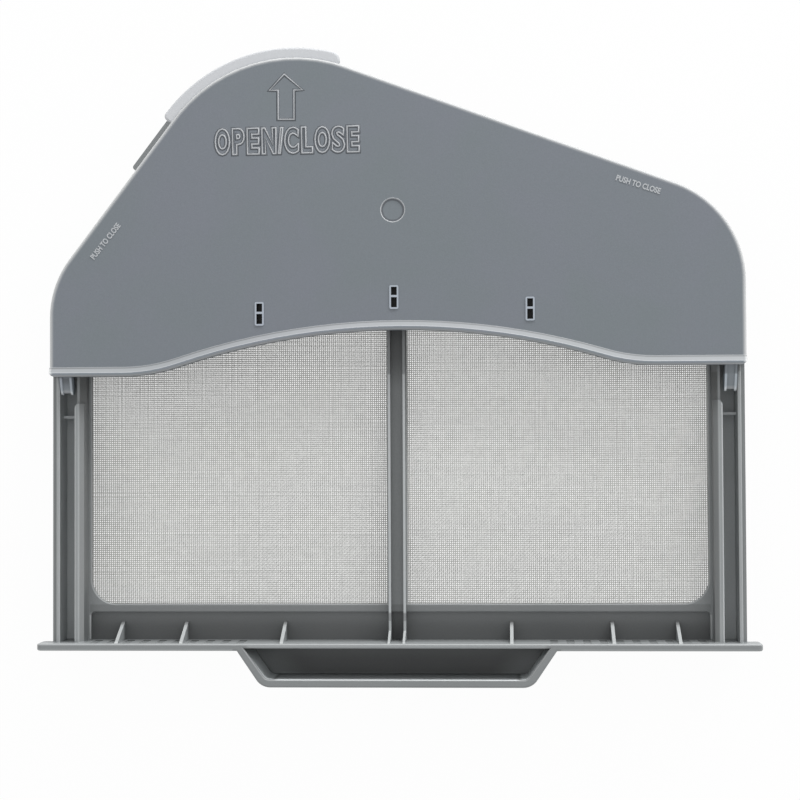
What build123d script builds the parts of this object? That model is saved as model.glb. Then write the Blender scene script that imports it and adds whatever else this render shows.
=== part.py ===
"""Tumble dryer lint filter: a moulded frame with two woven screens and a hinged cover.

It lies on its back: X runs along the flange, Y from the handle to the rounded top, Z out of the
screens. The origin is at the middle of the footprint, on the surface that the filter lies on.
Heights along Y are measured from the flange seat, the face that stops against the dryer.
"""

import os
from math import asin, atan2, degrees, hypot, sqrt

from build123d import *

# Flange and grille
flange_length = 301.0
flange_depth = 30.0
flange_back_z = 18.0
flange_thickness = 3.0
flange_corner = 2.0
flange_edge = 0.8
end_wall = 2.4
grille_first = 65.4
grille_pitch = 6.85
grille_count = 10
grille_rows = 3
grille_row_pitch = 5.0
grille_middle_z = 20.5
grille_hole = 3.3

# Finger handle under the flange
handle_drop = 15.1
handle_top_width = 134.2
handle_bottom_width = 112.2
handle_side_wall = 3.7
handle_floor_wall = 3.3
handle_corner = 7.0
handle_back_z = 3.0
handle_back_wall = 3.0
handle_roof = 1.9
handle_rim = 0.5

# Case plan: two straight sides, two shoulders and a rounded top
case_width = 289.0
left_shoulder_radius = 40.5
left_shoulder_y = 136.2
right_shoulder_radius = 43.1
right_shoulder_y = 149.4
peak_x = -42.0
peak_y = 181.4
peak_radius = 62.7

# Perimeter wall, with an outer shoulder that carries the cover and an inner lip that locates it
wall = 3.0
rim_z = 25.0
lip_width = 1.5
lip_height = 1.0
lip_edge = 0.45

# Screen plate, windows and the floor of the pocket and the side channels
plate_front_z = 15.0
plate_thickness = 2.5
window_inset = 14.3
window_bottom = 15.4
window_corner = 10.5
window_edge = 0.5
bar_width = 8.4
bar_rib = 1.0
bar_rib_gap = 5.2
bar_rib_height = 4.5
bar_rib_end = 200.0
floor_front_z = 12.0
floor_thickness = 2.5
pocket_top = 12.0
pocket_half = 130.6
pocket_corner = 1.8
pocket_edge = 0.4
riser = 1.6

# Side channels and their inner walls
channel_width = 6.2
inner_wall = 3.7
inner_wall_bevel = 2.0
inner_wall_edge = 0.5
notch_y = 100.3
notch_wall = 1.2
notch_reach = 2.9
notch_foot_z = 18.0
notch_corner = 2.2
channel_end = 128.0
channel_web = 2.0
cross_rib_y = 94.7
cross_rib = 1.2
cross_rib_height = 6.0

# Gussets between the flange and the pocket floor
gusset_places = (47.8, 89.9, 117.1)
gusset_thickness = 1.4
gusset_reach = 8.0

# Woven screens: a wall with ridges both ways and open gaps between them
screen_thickness = 0.8
screen_seat = 1.2
screen_side_gap = 0.1
ridge_pitch = 13.5
ridge_width = 1.6
ridge_height = 0.3
ridge_margin = 0.5
screen_gap = 7.0

# Cover
cover_overhang = 0.4
cover_fit = 0.3
cover_thickness = 2.0
cover_height = 5.0
cover_edge = 1.1
cover_corner = 2.4
edge_left_y = 111.4
edge_right_y = 114.6
edge_crest_x = 2.0
edge_crest_y = 130.0
edge_radius = 295.0
edge_sweep = 75.0
bead_width = 4.0
bead_height = 1.8
bead_slope = 2.5
bead_round = 1.4
bead_drop = 1.5
slot_places = ((-56.4, 137.1), (-0.2, 143.6), (56.2, 138.3))
slot_width = 2.4
slot_length = 8.5
slot_bridge = 0.9
slot_bridge_offset = 0.4
slot_rim = 0.7
slot_rim_height = 0.4
slot_well_wall = 1.0
slot_well_depth = 2.0
slot_well_floor = 0.8
gate_x = -0.6
gate_y = 179.9
gate_radius = 5.1
gate_depth = 0.5
cover_rib = 1.4
cover_rib_height = 2.0
cover_rib_inset = 22.0
cover_rib_places = (-84.0, -28.0, 28.0, 84.0)

# Hinge
pivot_y = 107.3
pivot_z = 22.6
knuckle_radius = 3.4
arm_width = 5.0
arm_gap = 0.3
arm_rib = 0.9
arm_rib_height = 0.7
arm_root_start = 114.6
arm_root_end = 119.5
pin_radius = 1.5
pin_clearance = 0.08
pin_end_gap = 0.3

# Snap tongues on the cover, and the windows in the wall that they face
tongue_width = 12.0
tongue_thickness = 1.6
tongue_gap = 0.5
tongue_length = 10.0
tongue_nose = 0.3
tongue_nose_height = 1.4
tongue_nose_drop = 6.6
catch_window_height = 4.0
catch_window_margin = 1.0

# Pull tab beyond the rounded top of the cover
tab_reach = 4.5
tab_thickness = 3.0
tab_below_face = 1.4
tab_start = 72.4
tab_end = 144.9
tab_left_corner = 2.0
tab_right_corner = 3.8
tab_edge = 1.0
tab_fit = 0.1
tab_root_thickness = 1.2
tab_root_reach = 3.4
tab_root_margin = 10.0

# Keying rail on the left slope of the wall
rail_start = 1.0
rail_length = 26.0
rail_reach = 4.6
rail_low_z = 15.0
rail_high_z = 20.0
rail_corner = 1.2

# Derived places
case_half = case_width / 2
lip_z = rim_z + lip_height
plate_back_z = plate_front_z - plate_thickness
floor_back_z = floor_front_z - floor_thickness
cover_low_z = rim_z + cover_fit
cover_front_z = cover_low_z + cover_height
cover_back_z = cover_front_z - cover_thickness
channel_outer = case_half - wall
channel_inner = channel_outer - channel_width
tray_half = channel_inner - inner_wall
left_shoulder_x = left_shoulder_radius - case_half
right_shoulder_x = case_half - right_shoulder_radius
handle_reach = flange_thickness + handle_drop
case_reach = peak_y + peak_radius + cover_overhang + tab_reach
seat_y = (handle_reach - case_reach) / 2
left_rise = peak_y - left_shoulder_y
left_run = peak_x - left_shoulder_x
right_rise = right_shoulder_y - peak_y
right_run = right_shoulder_x - peak_x
left_turn = asin((peak_radius - left_shoulder_radius) / hypot(left_rise, left_run))
right_turn = asin((peak_radius - right_shoulder_radius) / hypot(right_rise, right_run))
left_slope = atan2(left_rise, left_run) + left_turn
right_slope = atan2(right_rise, right_run) - right_turn

# Working planes: plan views at a height, the flange seat seen from below, and side views at a place on X
seat_plane = Plane(origin=(0, seat_y, 0))
flange_plane = Plane(origin=(0, seat_y, 0), x_dir=(1, 0, 0), z_dir=(0, -1, 0))


def level(z):
    """Plan plane at a height, with its origin over the flange seat."""
    return seat_plane.offset(z)


def side_plane(x):
    """Side plane at a place along the flange: across it Y from the seat, up it Z."""
    return Plane(origin=(x, seat_y, 0), x_dir=(0, 1, 0), z_dir=(1, 0, 0))


def case_plan(inset):
    """Plan of the case drawn in by a distance: sides, shoulders, slopes and rounded top, each tangent."""
    half = case_half - inset
    left_normal = 90 + degrees(left_slope)
    right_normal = 90 + degrees(right_slope)
    left_place = (left_shoulder_x, left_shoulder_y)
    right_place = (right_shoulder_x, right_shoulder_y)
    top_place = (peak_x, peak_y)
    with BuildSketch() as plan:
        with BuildLine():
            left_round = CenterArc(left_place, left_shoulder_radius - inset, 180, left_normal - 180)
            top_round = CenterArc(top_place, peak_radius - inset, left_normal, right_normal - left_normal)
            right_round = CenterArc(right_place, right_shoulder_radius - inset, right_normal, -right_normal)
            Line(left_round @ 1, top_round @ 0)
            Line(top_round @ 1, right_round @ 0)
            Polyline(right_round @ 1, (half, 0), (-half, 0), left_round @ 0)
        make_face()
    return plan.sketch


def below_edge(rise):
    """Everything on the handle side of the cover's waved lower edge, raised by a distance."""
    left_reach = sqrt(edge_radius**2 - (edge_radius - edge_crest_y + edge_left_y) ** 2)
    right_reach = sqrt(edge_radius**2 - (edge_radius - edge_crest_y + edge_right_y) ** 2)
    left_foot = (edge_crest_x - left_reach, edge_left_y + rise)
    right_foot = (edge_crest_x + right_reach, edge_right_y + rise)
    with BuildSketch() as below:
        with BuildLine():
            Line((-case_width, edge_left_y + rise), left_foot)
            ThreePointArc(left_foot, (edge_crest_x, edge_crest_y + rise), right_foot)
            Line(right_foot, (case_width, edge_right_y + rise))
            Polyline(
                (case_width, edge_right_y + rise),
                (case_width, -handle_reach),
                (-case_width, -handle_reach),
                (-case_width, edge_left_y + rise),
            )
        make_face()
        feet = below.vertices().filter_by_position(Axis.X, -case_half, case_half)
        fillet(feet, edge_sweep)
    return below.sketch


def cover_plan(inset):
    """Plan of the cover: the case plan above the waved edge, with rounded lower corners."""
    with BuildSketch() as plan:
        add(case_plan(inset - cover_overhang))
        add(below_edge(0), mode=Mode.SUBTRACT)
        low_points = plan.vertices().filter_by_position(Axis.Y, 0, (edge_right_y + edge_crest_y) / 2)
        fillet([low_points.sort_by(Axis.X)[0], low_points.sort_by(Axis.X)[-1]], cover_corner)
    return plan.sketch


def window_plan(inset, bottom, bar, corner):
    """Plan of the two openings beside the middle bar, following the case at an inset."""
    with BuildSketch() as plan:
        add(case_plan(inset))
        with Locations((0, bottom / 2)):
            Rectangle(case_width, bottom, mode=Mode.SUBTRACT)
        fillet(plan.vertices().group_by(Axis.Y)[0], corner)
        with Locations((0, peak_y)):
            Rectangle(bar, 2 * peak_y, mode=Mode.SUBTRACT)
    return plan.sketch


def shoulder_patches(width):
    """Two strips across the shoulders' rounds, where the cover snaps shut."""
    left_middle = (180 + 90 + degrees(left_slope)) / 2
    right_middle = (90 + degrees(right_slope)) / 2
    with BuildSketch() as patches:
        with Locations(Location((left_shoulder_x, left_shoulder_y), left_middle)):
            with Locations((left_shoulder_radius, 0)):
                Rectangle(left_shoulder_radius, width)
        with Locations(Location((right_shoulder_x, right_shoulder_y), right_middle)):
            with Locations((right_shoulder_radius, 0)):
                Rectangle(right_shoulder_radius, width)
    return patches.sketch


def shoulder_arcs(outer_inset, inner_inset, width):
    """Two short arcs that follow the wall at the shoulders, between two insets."""
    with BuildSketch() as arcs:
        add(case_plan(outer_inset))
        add(case_plan(inner_inset), mode=Mode.SUBTRACT)
        add(shoulder_patches(width), mode=Mode.INTERSECT)
    return arcs.sketch


def peak_sector(inner_radius, outer_radius, margin):
    """Sector of a ring about the rounded top, over the span of the pull tab less an angle at each end."""
    span = tab_end - tab_start - 2 * margin
    with BuildSketch() as sector:
        with BuildLine():
            inner = CenterArc((peak_x, peak_y), inner_radius, tab_start + margin, span)
            outer = CenterArc((peak_x, peak_y), outer_radius, tab_start + margin, span)
            Line(inner @ 0, outer @ 0)
            Line(inner @ 1, outer @ 1)
        make_face()
    return sector.sketch


def rail_plan():
    """Plan of the keying rail, sunk half a wall into the left slope."""
    with BuildSketch() as plan:
        with Locations(Location((peak_x, peak_y), degrees(left_slope))):
            with Locations((-rail_start - rail_length / 2, peak_radius + (rail_reach - wall / 2) / 2)):
                Rectangle(rail_length, rail_reach + wall / 2)
        fillet(plan.vertices().sort_by(Axis.X)[0], rail_corner)
    return plan.sketch


def tab_plan(inner_radius, outer_radius):
    """Plan of the pull tab's grip, with its outer corners rounded, the right one more."""
    with BuildSketch() as plan:
        add(peak_sector(inner_radius, outer_radius, 0))
        fillet(plan.vertices().sort_by(Axis.X)[0], tab_left_corner)
        fillet(plan.vertices().sort_by(Axis.X)[-1], tab_right_corner)
    return plan.sketch


def pocket_plan():
    """Plan of the pocket between the flange and the screens, with its upper corners rounded."""
    with BuildSketch() as plan:
        with Locations((0, pocket_top / 2)):
            Rectangle(2 * pocket_half, pocket_top)
        fillet(plan.vertices().group_by(Axis.Y)[-1], pocket_corner)
    return plan.sketch


def gusset_plan():
    """Side view of a gusset, from the flange's front edge down to the pocket floor."""
    with BuildSketch() as plan:
        with BuildLine():
            Polyline(
                (0, flange_depth - flange_edge),
                (0, floor_front_z),
                (gusset_reach, floor_front_z),
                close=True,
            )
        make_face()
    return plan.sketch


def arm_plan(drop):
    """Side view of a hinge arm, from its knuckle to the back of the cover, lowered by a distance."""
    with BuildSketch() as plan:
        with Locations((pivot_y, pivot_z)):
            Circle(knuckle_radius - drop)
        with Locations(((arm_root_start + arm_root_end) / 2, cover_back_z + cover_thickness / 4 - drop)):
            Rectangle(arm_root_end - arm_root_start, cover_thickness / 2)
        make_hull()
    return plan.sketch


def handle_plan(top_half, bottom_half, top, bottom, corner):
    """Trapezoid of the finger handle, with its lower corners rounded."""
    with BuildSketch() as plan:
        with BuildLine():
            Polyline(
                (-top_half, top),
                (top_half, top),
                (bottom_half, bottom),
                (-bottom_half, bottom),
                close=True,
            )
        make_face()
        fillet(plan.vertices().group_by(Axis.Y)[0], corner)
    return plan.sketch


# Finger handle, solid, with its front edge rounded
with BuildPart() as handle:
    with BuildSketch(level(handle_back_z)):
        add(
            handle_plan(
                handle_top_width / 2,
                handle_bottom_width / 2,
                -handle_roof,
                -handle_reach,
                handle_corner,
            )
        )
    extrude(amount=flange_depth - handle_back_z)
    front_edges = handle.faces().sort_by(Axis.Z)[-1].edges()
    fillet(front_edges.sort_by(Axis.Y)[:-1], flange_edge)

# Flange with its grille, the end wall of the case behind it, and the hollow of the handle
with BuildPart() as grip:
    with BuildSketch(flange_plane):
        with Locations((0, (flange_back_z + flange_depth) / 2)):
            RectangleRounded(flange_length, flange_depth - flange_back_z, flange_corner)
    extrude(amount=flange_thickness)
    fillet(grip.faces().filter_by(Axis.Y).edges(), flange_edge)
    with BuildSketch(flange_plane):
        with Locations((0, (flange_back_z + 2 * flange_edge) / 2)):
            Rectangle(case_width, flange_back_z + 2 * flange_edge)
    extrude(amount=end_wall)
    add(handle.part)
    with BuildSketch(level(handle_back_z + handle_back_wall)):
        add(
            handle_plan(
                handle_top_width / 2 - handle_side_wall,
                handle_bottom_width / 2 - handle_side_wall / 2,
                -handle_roof,
                -handle_reach + handle_floor_wall,
                handle_corner - handle_side_wall,
            )
        )
    extrude(amount=flange_depth, mode=Mode.SUBTRACT)
    chamfer(grip.faces().sort_by(Axis.Z)[-1].inner_wires().edges(), handle_rim)
    for side in (-1, 1):
        grille_middle = side * (grille_first + (grille_count - 1) * grille_pitch / 2)
        with BuildSketch(flange_plane):
            with Locations((grille_middle, grille_middle_z)):
                with GridLocations(grille_pitch, grille_row_pitch, grille_count, grille_rows):
                    Rectangle(grille_hole, grille_hole)
        extrude(amount=flange_thickness, mode=Mode.SUBTRACT)

# Screen plate with its two window openings
with BuildPart() as screen_plate:
    with BuildSketch(level(plate_back_z)):
        add(case_plan(wall))
        with Locations((0, pocket_top / 2)):
            Rectangle(case_width, pocket_top, mode=Mode.SUBTRACT)
        for side in (-1, 1):
            with Locations((side * (tray_half + case_half) / 2, channel_end / 2)):
                Rectangle(case_half - tray_half, channel_end, mode=Mode.SUBTRACT)
    extrude(amount=plate_thickness)
    with BuildSketch(level(plate_back_z)):
        add(window_plan(window_inset, window_bottom, bar_width, window_corner))
    extrude(amount=plate_thickness, mode=Mode.SUBTRACT)
    chamfer(screen_plate.faces().sort_by(Axis.Z)[-1].inner_wires().edges(), window_edge)

# Frame: everything that is moulded with the wall
with BuildPart() as frame:
    with BuildSketch(level(0)):
        add(case_plan(0))
        add(case_plan(wall), mode=Mode.SUBTRACT)
    extrude(amount=rim_z)
    with BuildSketch(level(rim_z)):
        add(case_plan(wall - lip_width))
        add(case_plan(wall), mode=Mode.SUBTRACT)
        with GridLocations(2 * channel_outer + lip_width, 0, 2, 1):
            Rectangle(lip_width, flange_thickness)
    extrude(amount=lip_height)
    chamfer(frame.faces().sort_by(Axis.Z)[-1].edges(), lip_edge)

    # Floor of the pocket and of the two side channels, and the riser up to the screen plate
    with BuildSketch(level(floor_back_z)):
        with Locations((0, channel_end / 2)):
            Rectangle(2 * channel_outer, channel_end)
        with Locations((0, (pocket_top + riser + channel_end) / 2)):
            Rectangle(2 * tray_half, channel_end - pocket_top - riser, mode=Mode.SUBTRACT)
    extrude(amount=floor_thickness)
    with BuildSketch(level(floor_back_z)):
        with Locations((0, pocket_top + riser / 2)):
            Rectangle(2 * tray_half, riser)
    extrude(amount=plate_back_z - floor_back_z)
    add(screen_plate.part)
    with BuildSketch(level(floor_front_z)):
        with Locations((0, pocket_top / 2)):
            Rectangle(2 * tray_half, pocket_top)
        add(pocket_plan(), mode=Mode.SUBTRACT)
    extrude(amount=plate_front_z - floor_front_z)
    flat_edges = frame.faces().filter_by(Axis.Z).edges()
    near_edges = flat_edges.filter_by_position(Axis.X, -pocket_half, pocket_half)
    rim_edges = near_edges.filter_by_position(Axis.Z, plate_back_z + pocket_edge, plate_front_z + pocket_edge)
    chamfer(rim_edges.filter_by_position(Axis.Y, seat_y + pocket_edge, seat_y + pocket_top), pocket_edge)

    # Inner walls of the channels, cut back near the hinge arms, with a web at the far end
    with BuildSketch(flange_plane):
        for side in (-1, 1):
            with BuildLine():
                Polyline(
                    (side * tray_half, floor_back_z),
                    (side * channel_inner, floor_back_z),
                    (side * channel_inner, lip_z - inner_wall_edge),
                    (side * (channel_inner - inner_wall_edge), lip_z),
                    (side * (tray_half + inner_wall_bevel), lip_z),
                    (side * tray_half, lip_z - inner_wall_bevel),
                    close=True,
                )
            make_face()
    extrude(amount=-notch_y)
    notch_place = seat_y + notch_y
    uprights = frame.edges().filter_by(Axis.Z)
    notch_ends = uprights.filter_by_position(Axis.Y, notch_place - 0.1, notch_place + 0.1).sort_by(Axis.X)
    fillet([notch_ends[0], notch_ends[-1]], notch_corner)
    notch_top_z = lip_z - inner_wall_bevel
    with BuildSketch(flange_plane):
        for side in (-1, 1):
            with BuildLine():
                Polyline(
                    (side * tray_half, floor_back_z),
                    (side * (tray_half + notch_reach), floor_back_z),
                    (side * (tray_half + notch_reach), notch_top_z),
                    (side * (tray_half + notch_reach - notch_wall), notch_top_z),
                    (side * tray_half, notch_foot_z),
                    close=True,
                )
            make_face()
    extrude(amount=-channel_end)
    with BuildSketch(level(floor_back_z)):
        for side in (-1, 1):
            with Locations((side * (tray_half + channel_outer) / 2, channel_end + channel_web / 2)):
                Rectangle(channel_outer - tray_half, channel_web)
    extrude(amount=notch_top_z - floor_back_z)
    with BuildSketch(level(floor_front_z)):
        for side in (-1, 1):
            with Locations((side * (channel_inner + channel_outer) / 2, cross_rib_y)):
                Rectangle(channel_outer - channel_inner, cross_rib)
    extrude(amount=cross_rib_height)

    # Middle bar: two ribs that run down into the pocket
    with BuildSketch(level(plate_front_z)):
        with Locations((0, (pocket_top + bar_rib_end) / 2)):
            with GridLocations(bar_rib_gap + bar_rib, 0, 2, 1):
                Rectangle(bar_rib, bar_rib_end - pocket_top)
    extrude(amount=bar_rib_height)
    with BuildSketch(level(floor_front_z)):
        with Locations((0, pocket_top / 2)):
            with GridLocations(bar_rib_gap + bar_rib, 0, 2, 1):
                Rectangle(bar_rib, pocket_top)
    extrude(amount=plate_front_z - floor_front_z + bar_rib_height)

    # Gussets, and the flange with its handle
    for place in gusset_places:
        for side in (-1, 1):
            with BuildSketch(side_plane(side * place - gusset_thickness / 2)):
                add(gusset_plan())
            extrude(amount=gusset_thickness)
    for side in (-1, 1):
        with BuildSketch(side_plane(side * (bar_rib_gap + bar_rib) / 2 - bar_rib / 2)):
            add(gusset_plan())
        extrude(amount=bar_rib)
    add(grip.part)

    # Hinge sockets, catch windows and the keying rail in the wall
    with BuildSketch(side_plane(-case_half)):
        with Locations((pivot_y, pivot_z)):
            Circle(pin_radius + pin_clearance)
    extrude(amount=wall, mode=Mode.SUBTRACT)
    with BuildSketch(side_plane(case_half)):
        with Locations((pivot_y, pivot_z)):
            Circle(pin_radius + pin_clearance)
    extrude(amount=-wall, mode=Mode.SUBTRACT)
    with BuildSketch(level(cover_back_z - tongue_nose_drop - catch_window_height / 2)):
        add(shoulder_arcs(-cover_overhang, wall + tongue_gap, tongue_width - 2 * catch_window_margin))
    extrude(amount=catch_window_height, mode=Mode.SUBTRACT)
    with BuildSketch(level(rail_low_z)):
        add(rail_plan())
    extrude(amount=rail_high_z - rail_low_z)

    # Rebates behind the windows
    with BuildSketch(level(floor_back_z)):
        add(
            window_plan(
                window_inset - screen_seat,
                window_bottom - screen_seat,
                bar_width - 2 * screen_seat,
                window_corner + screen_seat,
            )
        )
    extrude(amount=plate_back_z + screen_thickness - floor_back_z, mode=Mode.SUBTRACT)
frame.part.label = "frame"

# Woven screens, one in each rebate
screens = {}
for side, name in ((-1, "mesh_left"), (1, "mesh_right")):
    half_plane = Pos(side * case_width / 2, peak_y) * Rectangle(case_width, 4 * peak_y)
    seat = window_plan(
        window_inset - screen_seat + screen_side_gap,
        window_bottom - screen_seat + screen_side_gap,
        bar_width - 2 * screen_seat + 2 * screen_side_gap,
        window_corner + screen_seat - screen_side_gap,
    )
    opening = window_plan(
        window_inset + ridge_margin,
        window_bottom + ridge_margin,
        bar_width + 2 * ridge_margin,
        window_corner - ridge_margin,
    )
    columns = int(case_half / ridge_pitch)
    rows = int((peak_y + peak_radius) / ridge_pitch)
    ridge_places = [(side * (bar_width / 2 + ridge_pitch * column), peak_y) for column in range(columns + 1)]
    crossings = [(0, window_bottom + ridge_pitch * row) for row in range(rows + 1)]
    reach = (screen_gap + ridge_width) / 2
    gaps = []
    for column in range(columns):
        for row in range(rows):
            x = side * (bar_width / 2 + ridge_pitch * (column + 0.5))
            y = window_bottom + ridge_pitch * (row + 0.5)
            corners = [(x + i * reach, y + j * reach, 0) for i in (-1, 1) for j in (-1, 1)]
            if all(any(face.is_inside(corner) for face in opening.faces()) for corner in corners):
                gaps.append((x, y))
    with BuildPart() as screen:
        with BuildSketch(level(plate_back_z)):
            add(seat)
            add(half_plane, mode=Mode.INTERSECT)
        extrude(amount=screen_thickness)
        with BuildSketch(level(plate_back_z + screen_thickness)):
            with Locations(*ridge_places):
                Rectangle(ridge_width, 2 * peak_y)
            with Locations(*crossings):
                Rectangle(case_width, ridge_width)
            add(opening, mode=Mode.INTERSECT)
            add(half_plane, mode=Mode.INTERSECT)
        extrude(amount=ridge_height)
        with BuildSketch(level(plate_back_z)):
            with Locations(*gaps):
                Rectangle(screen_gap, screen_gap)
        extrude(amount=screen_thickness, mode=Mode.SUBTRACT)
    screen.part.label = name
    screens[name] = screen.part

# Raised bead along the cover's waved lower edge
with BuildPart() as bead:
    waved_edges = below_edge(0).edges().filter_by_position(Axis.Y, edge_left_y - 1, edge_crest_y + 1)
    with BuildSketch(side_plane(-case_width)) as profile:
        with BuildLine():
            Polyline(
                (edge_left_y, cover_back_z - bead_drop),
                (edge_left_y, cover_front_z + bead_height),
                (edge_left_y + bead_width - bead_slope, cover_front_z + bead_height),
                (edge_left_y + bead_width, cover_front_z),
                (edge_left_y + bead_width, cover_back_z - bead_drop),
                close=True,
            )
        make_face()
        fillet(profile.vertices().group_by(Axis.Y)[-1].sort_by(Axis.X)[0], bead_round)
    sweep(path=Wire(waved_edges).moved(seat_plane.location))
    with BuildSketch(level(cover_low_z)):
        add(cover_plan(0))
    extrude(amount=cover_height + bead_height, mode=Mode.INTERSECT)

# Cover
with BuildPart() as cover:
    with BuildSketch(level(cover_low_z)):
        add(cover_plan(0))
    extrude(amount=cover_height)
    fillet(cover.faces().sort_by(Axis.Z)[-1].edges(), cover_edge)
    with BuildSketch(level(cover_low_z)):
        add(case_plan(wall - lip_width - cover_fit))
    extrude(amount=cover_height - cover_thickness, mode=Mode.SUBTRACT)
    add(bead.part)

    # Slots with raised rims and closed wells behind them, and the gate recess
    with BuildSketch(level(cover_front_z)):
        with Locations(*slot_places):
            RectangleRounded(slot_width + 2 * slot_rim, slot_length + 2 * slot_rim, slot_rim)
    extrude(amount=slot_rim_height)
    with BuildSketch(level(cover_back_z - slot_well_depth)):
        with Locations(*slot_places):
            Rectangle(slot_width + 2 * slot_well_wall, slot_length + 2 * slot_well_wall)
    extrude(amount=slot_well_depth)
    slot_floor_z = cover_back_z - slot_well_depth + slot_well_floor
    with BuildSketch(level(slot_floor_z)):
        with Locations(*slot_places):
            Rectangle(slot_width, slot_length)
            with Locations((0, slot_bridge_offset)):
                Rectangle(slot_width, slot_bridge, mode=Mode.SUBTRACT)
    extrude(amount=cover_front_z + slot_rim_height - slot_floor_z, mode=Mode.SUBTRACT)
    with BuildSketch(level(cover_front_z - gate_depth)):
        with Locations((gate_x, gate_y)):
            Circle(gate_radius)
    extrude(amount=gate_depth, mode=Mode.SUBTRACT)

    # Stiffening ribs under the face
    with BuildSketch(level(cover_back_z - cover_rib_height)):
        for place in cover_rib_places:
            with Locations((place, peak_y)):
                Rectangle(cover_rib, 2 * peak_y)
        add(case_plan(cover_rib_inset), mode=Mode.INTERSECT)
        add(below_edge(bead_width), mode=Mode.SUBTRACT)
    extrude(amount=cover_rib_height)

    # Hinge arms with raised edges, and their pins
    for side in (-1, 1):
        arm_middle = side * (channel_outer - arm_gap - arm_width / 2)
        with BuildSketch(side_plane(arm_middle)):
            add(arm_plan(arm_rib_height))
        extrude(amount=arm_width / 2, both=True)
        for edge in (-1, 1):
            with BuildSketch(side_plane(arm_middle + edge * (arm_width - arm_rib) / 2)):
                add(arm_plan(0))
            extrude(amount=arm_rib / 2, both=True)
        with BuildSketch(side_plane(arm_middle)):
            with Locations((pivot_y, pivot_z)):
                Circle(pin_radius)
        extrude(amount=side * (arm_width / 2 + arm_gap + wall - pin_end_gap))

    # Snap tongues with their noses, and the slot for the pull tab
    with BuildSketch(level(cover_back_z - tongue_length)):
        add(shoulder_arcs(wall + tongue_gap, wall + tongue_gap + tongue_thickness, tongue_width))
    extrude(amount=tongue_length)
    with BuildSketch(level(cover_back_z - tongue_nose_drop - tongue_nose_height / 2)):
        add(
            shoulder_arcs(
                wall + tongue_gap - tongue_nose,
                wall + tongue_gap,
                tongue_width - 4 * catch_window_margin,
            )
        )
    extrude(amount=tongue_nose_height)
    tab_top_z = cover_front_z - tab_below_face
    tab_root_z = tab_top_z - tab_thickness / 2 - tab_root_thickness / 2
    with BuildSketch(level(tab_root_z - tab_fit)):
        add(
            peak_sector(
                peak_radius - wall,
                peak_radius + cover_overhang + tab_fit,
                tab_root_margin - degrees(tab_fit / peak_radius),
            )
        )
    extrude(amount=tab_root_thickness + 2 * tab_fit, mode=Mode.SUBTRACT)
cover.part.label = "cover"

# Pull tab
with BuildPart() as pull_tab:
    tab_inner = peak_radius + cover_overhang + tab_fit
    tab_outer = peak_radius + cover_overhang + tab_reach
    with BuildSketch(level(tab_top_z - tab_thickness)):
        add(tab_plan(tab_inner, tab_outer))
    extrude(amount=tab_thickness)
    round_edges = pull_tab.faces().filter_by(Axis.Z).edges().filter_by(GeomType.CIRCLE)
    fillet(round_edges.group_by(SortBy.RADIUS)[-1], tab_edge)
    with BuildSketch(level(tab_root_z)):
        tab_root_inner = peak_radius + cover_overhang - tab_root_reach
        add(peak_sector(tab_root_inner, tab_inner + tab_edge, tab_root_margin))
    extrude(amount=tab_root_thickness)
pull_tab.part.label = "pull_tab"

os.makedirs("parts", exist_ok=True)
export_step(frame.part, "parts/frame.step")
export_step(cover.part, "parts/cover.step")
export_step(pull_tab.part, "parts/pull_tab.step")
for name, panel in screens.items():
    export_step(panel, f"parts/{name}.step")
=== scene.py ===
# %% [markdown]
# # Tumble dryer lint filter
# The filter lies on its back on a pale floor: a grey moulded frame, two woven screens, a darker
# hinged cover with a waved edge, and a pale pull tab. The CAD model gives every solid its true
# size and place. This lesson adds the camera, the light, the finishes, the weave of the screens
# and the raised marks.

import math

import bpy
import numpy as np
from mathutils import Matrix, Vector


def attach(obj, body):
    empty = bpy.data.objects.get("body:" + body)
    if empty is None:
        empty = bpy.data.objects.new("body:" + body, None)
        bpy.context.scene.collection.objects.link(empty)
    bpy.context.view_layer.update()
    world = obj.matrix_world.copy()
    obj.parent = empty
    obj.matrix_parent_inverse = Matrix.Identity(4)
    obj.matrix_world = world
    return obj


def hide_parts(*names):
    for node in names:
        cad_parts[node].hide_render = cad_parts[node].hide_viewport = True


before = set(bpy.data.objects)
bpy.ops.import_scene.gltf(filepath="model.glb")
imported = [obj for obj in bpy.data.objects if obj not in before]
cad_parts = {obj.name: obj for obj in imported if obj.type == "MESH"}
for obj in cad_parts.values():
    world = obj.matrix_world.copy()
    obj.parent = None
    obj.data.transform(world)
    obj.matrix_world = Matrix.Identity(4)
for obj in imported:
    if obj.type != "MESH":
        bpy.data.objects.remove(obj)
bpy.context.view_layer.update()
MM = 0.001
print("nodes", sorted(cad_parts))

# %% [markdown]
# ## Sizes shared with the solids
# The weave and the marks have to sit on the solids, so the few sizes that they need are written
# here once. Heights along Y are counted from the flange seat, as they are on the drawing, and
# `seat_y` moves them into the frame. Another way would be to measure the CAD meshes, but named
# sizes are easier to follow.

# %% Shared sizes, in millimetres
seat_y = -115.45
case_half = 144.5
left_shoulder_radius = 40.5
left_shoulder = (left_shoulder_radius - case_half, 136.2)
right_shoulder_radius = 43.1
right_shoulder = (case_half - right_shoulder_radius, 149.4)
peak = (-42.0, 181.4)
peak_radius = 62.7
window_inset = 14.3
window_bottom = 15.4
window_corner = 10.5
bar_half = 4.2
cover_front_z = 30.3
screen_z = 12.9
slot_places = ((-56.4, 137.1), (-0.2, 143.6), (56.2, 138.3))


def linear(red, green, blue):
    """Scene-linear colour of a screen colour from 0 to 255, by the standard power curve."""
    share = np.array([red, green, blue]) / 255
    curve = np.where(share <= 0.04045, share / 12.92, ((share + 0.055) / 1.055) ** 2.4)
    return (*curve.tolist(), 1.0)


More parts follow.
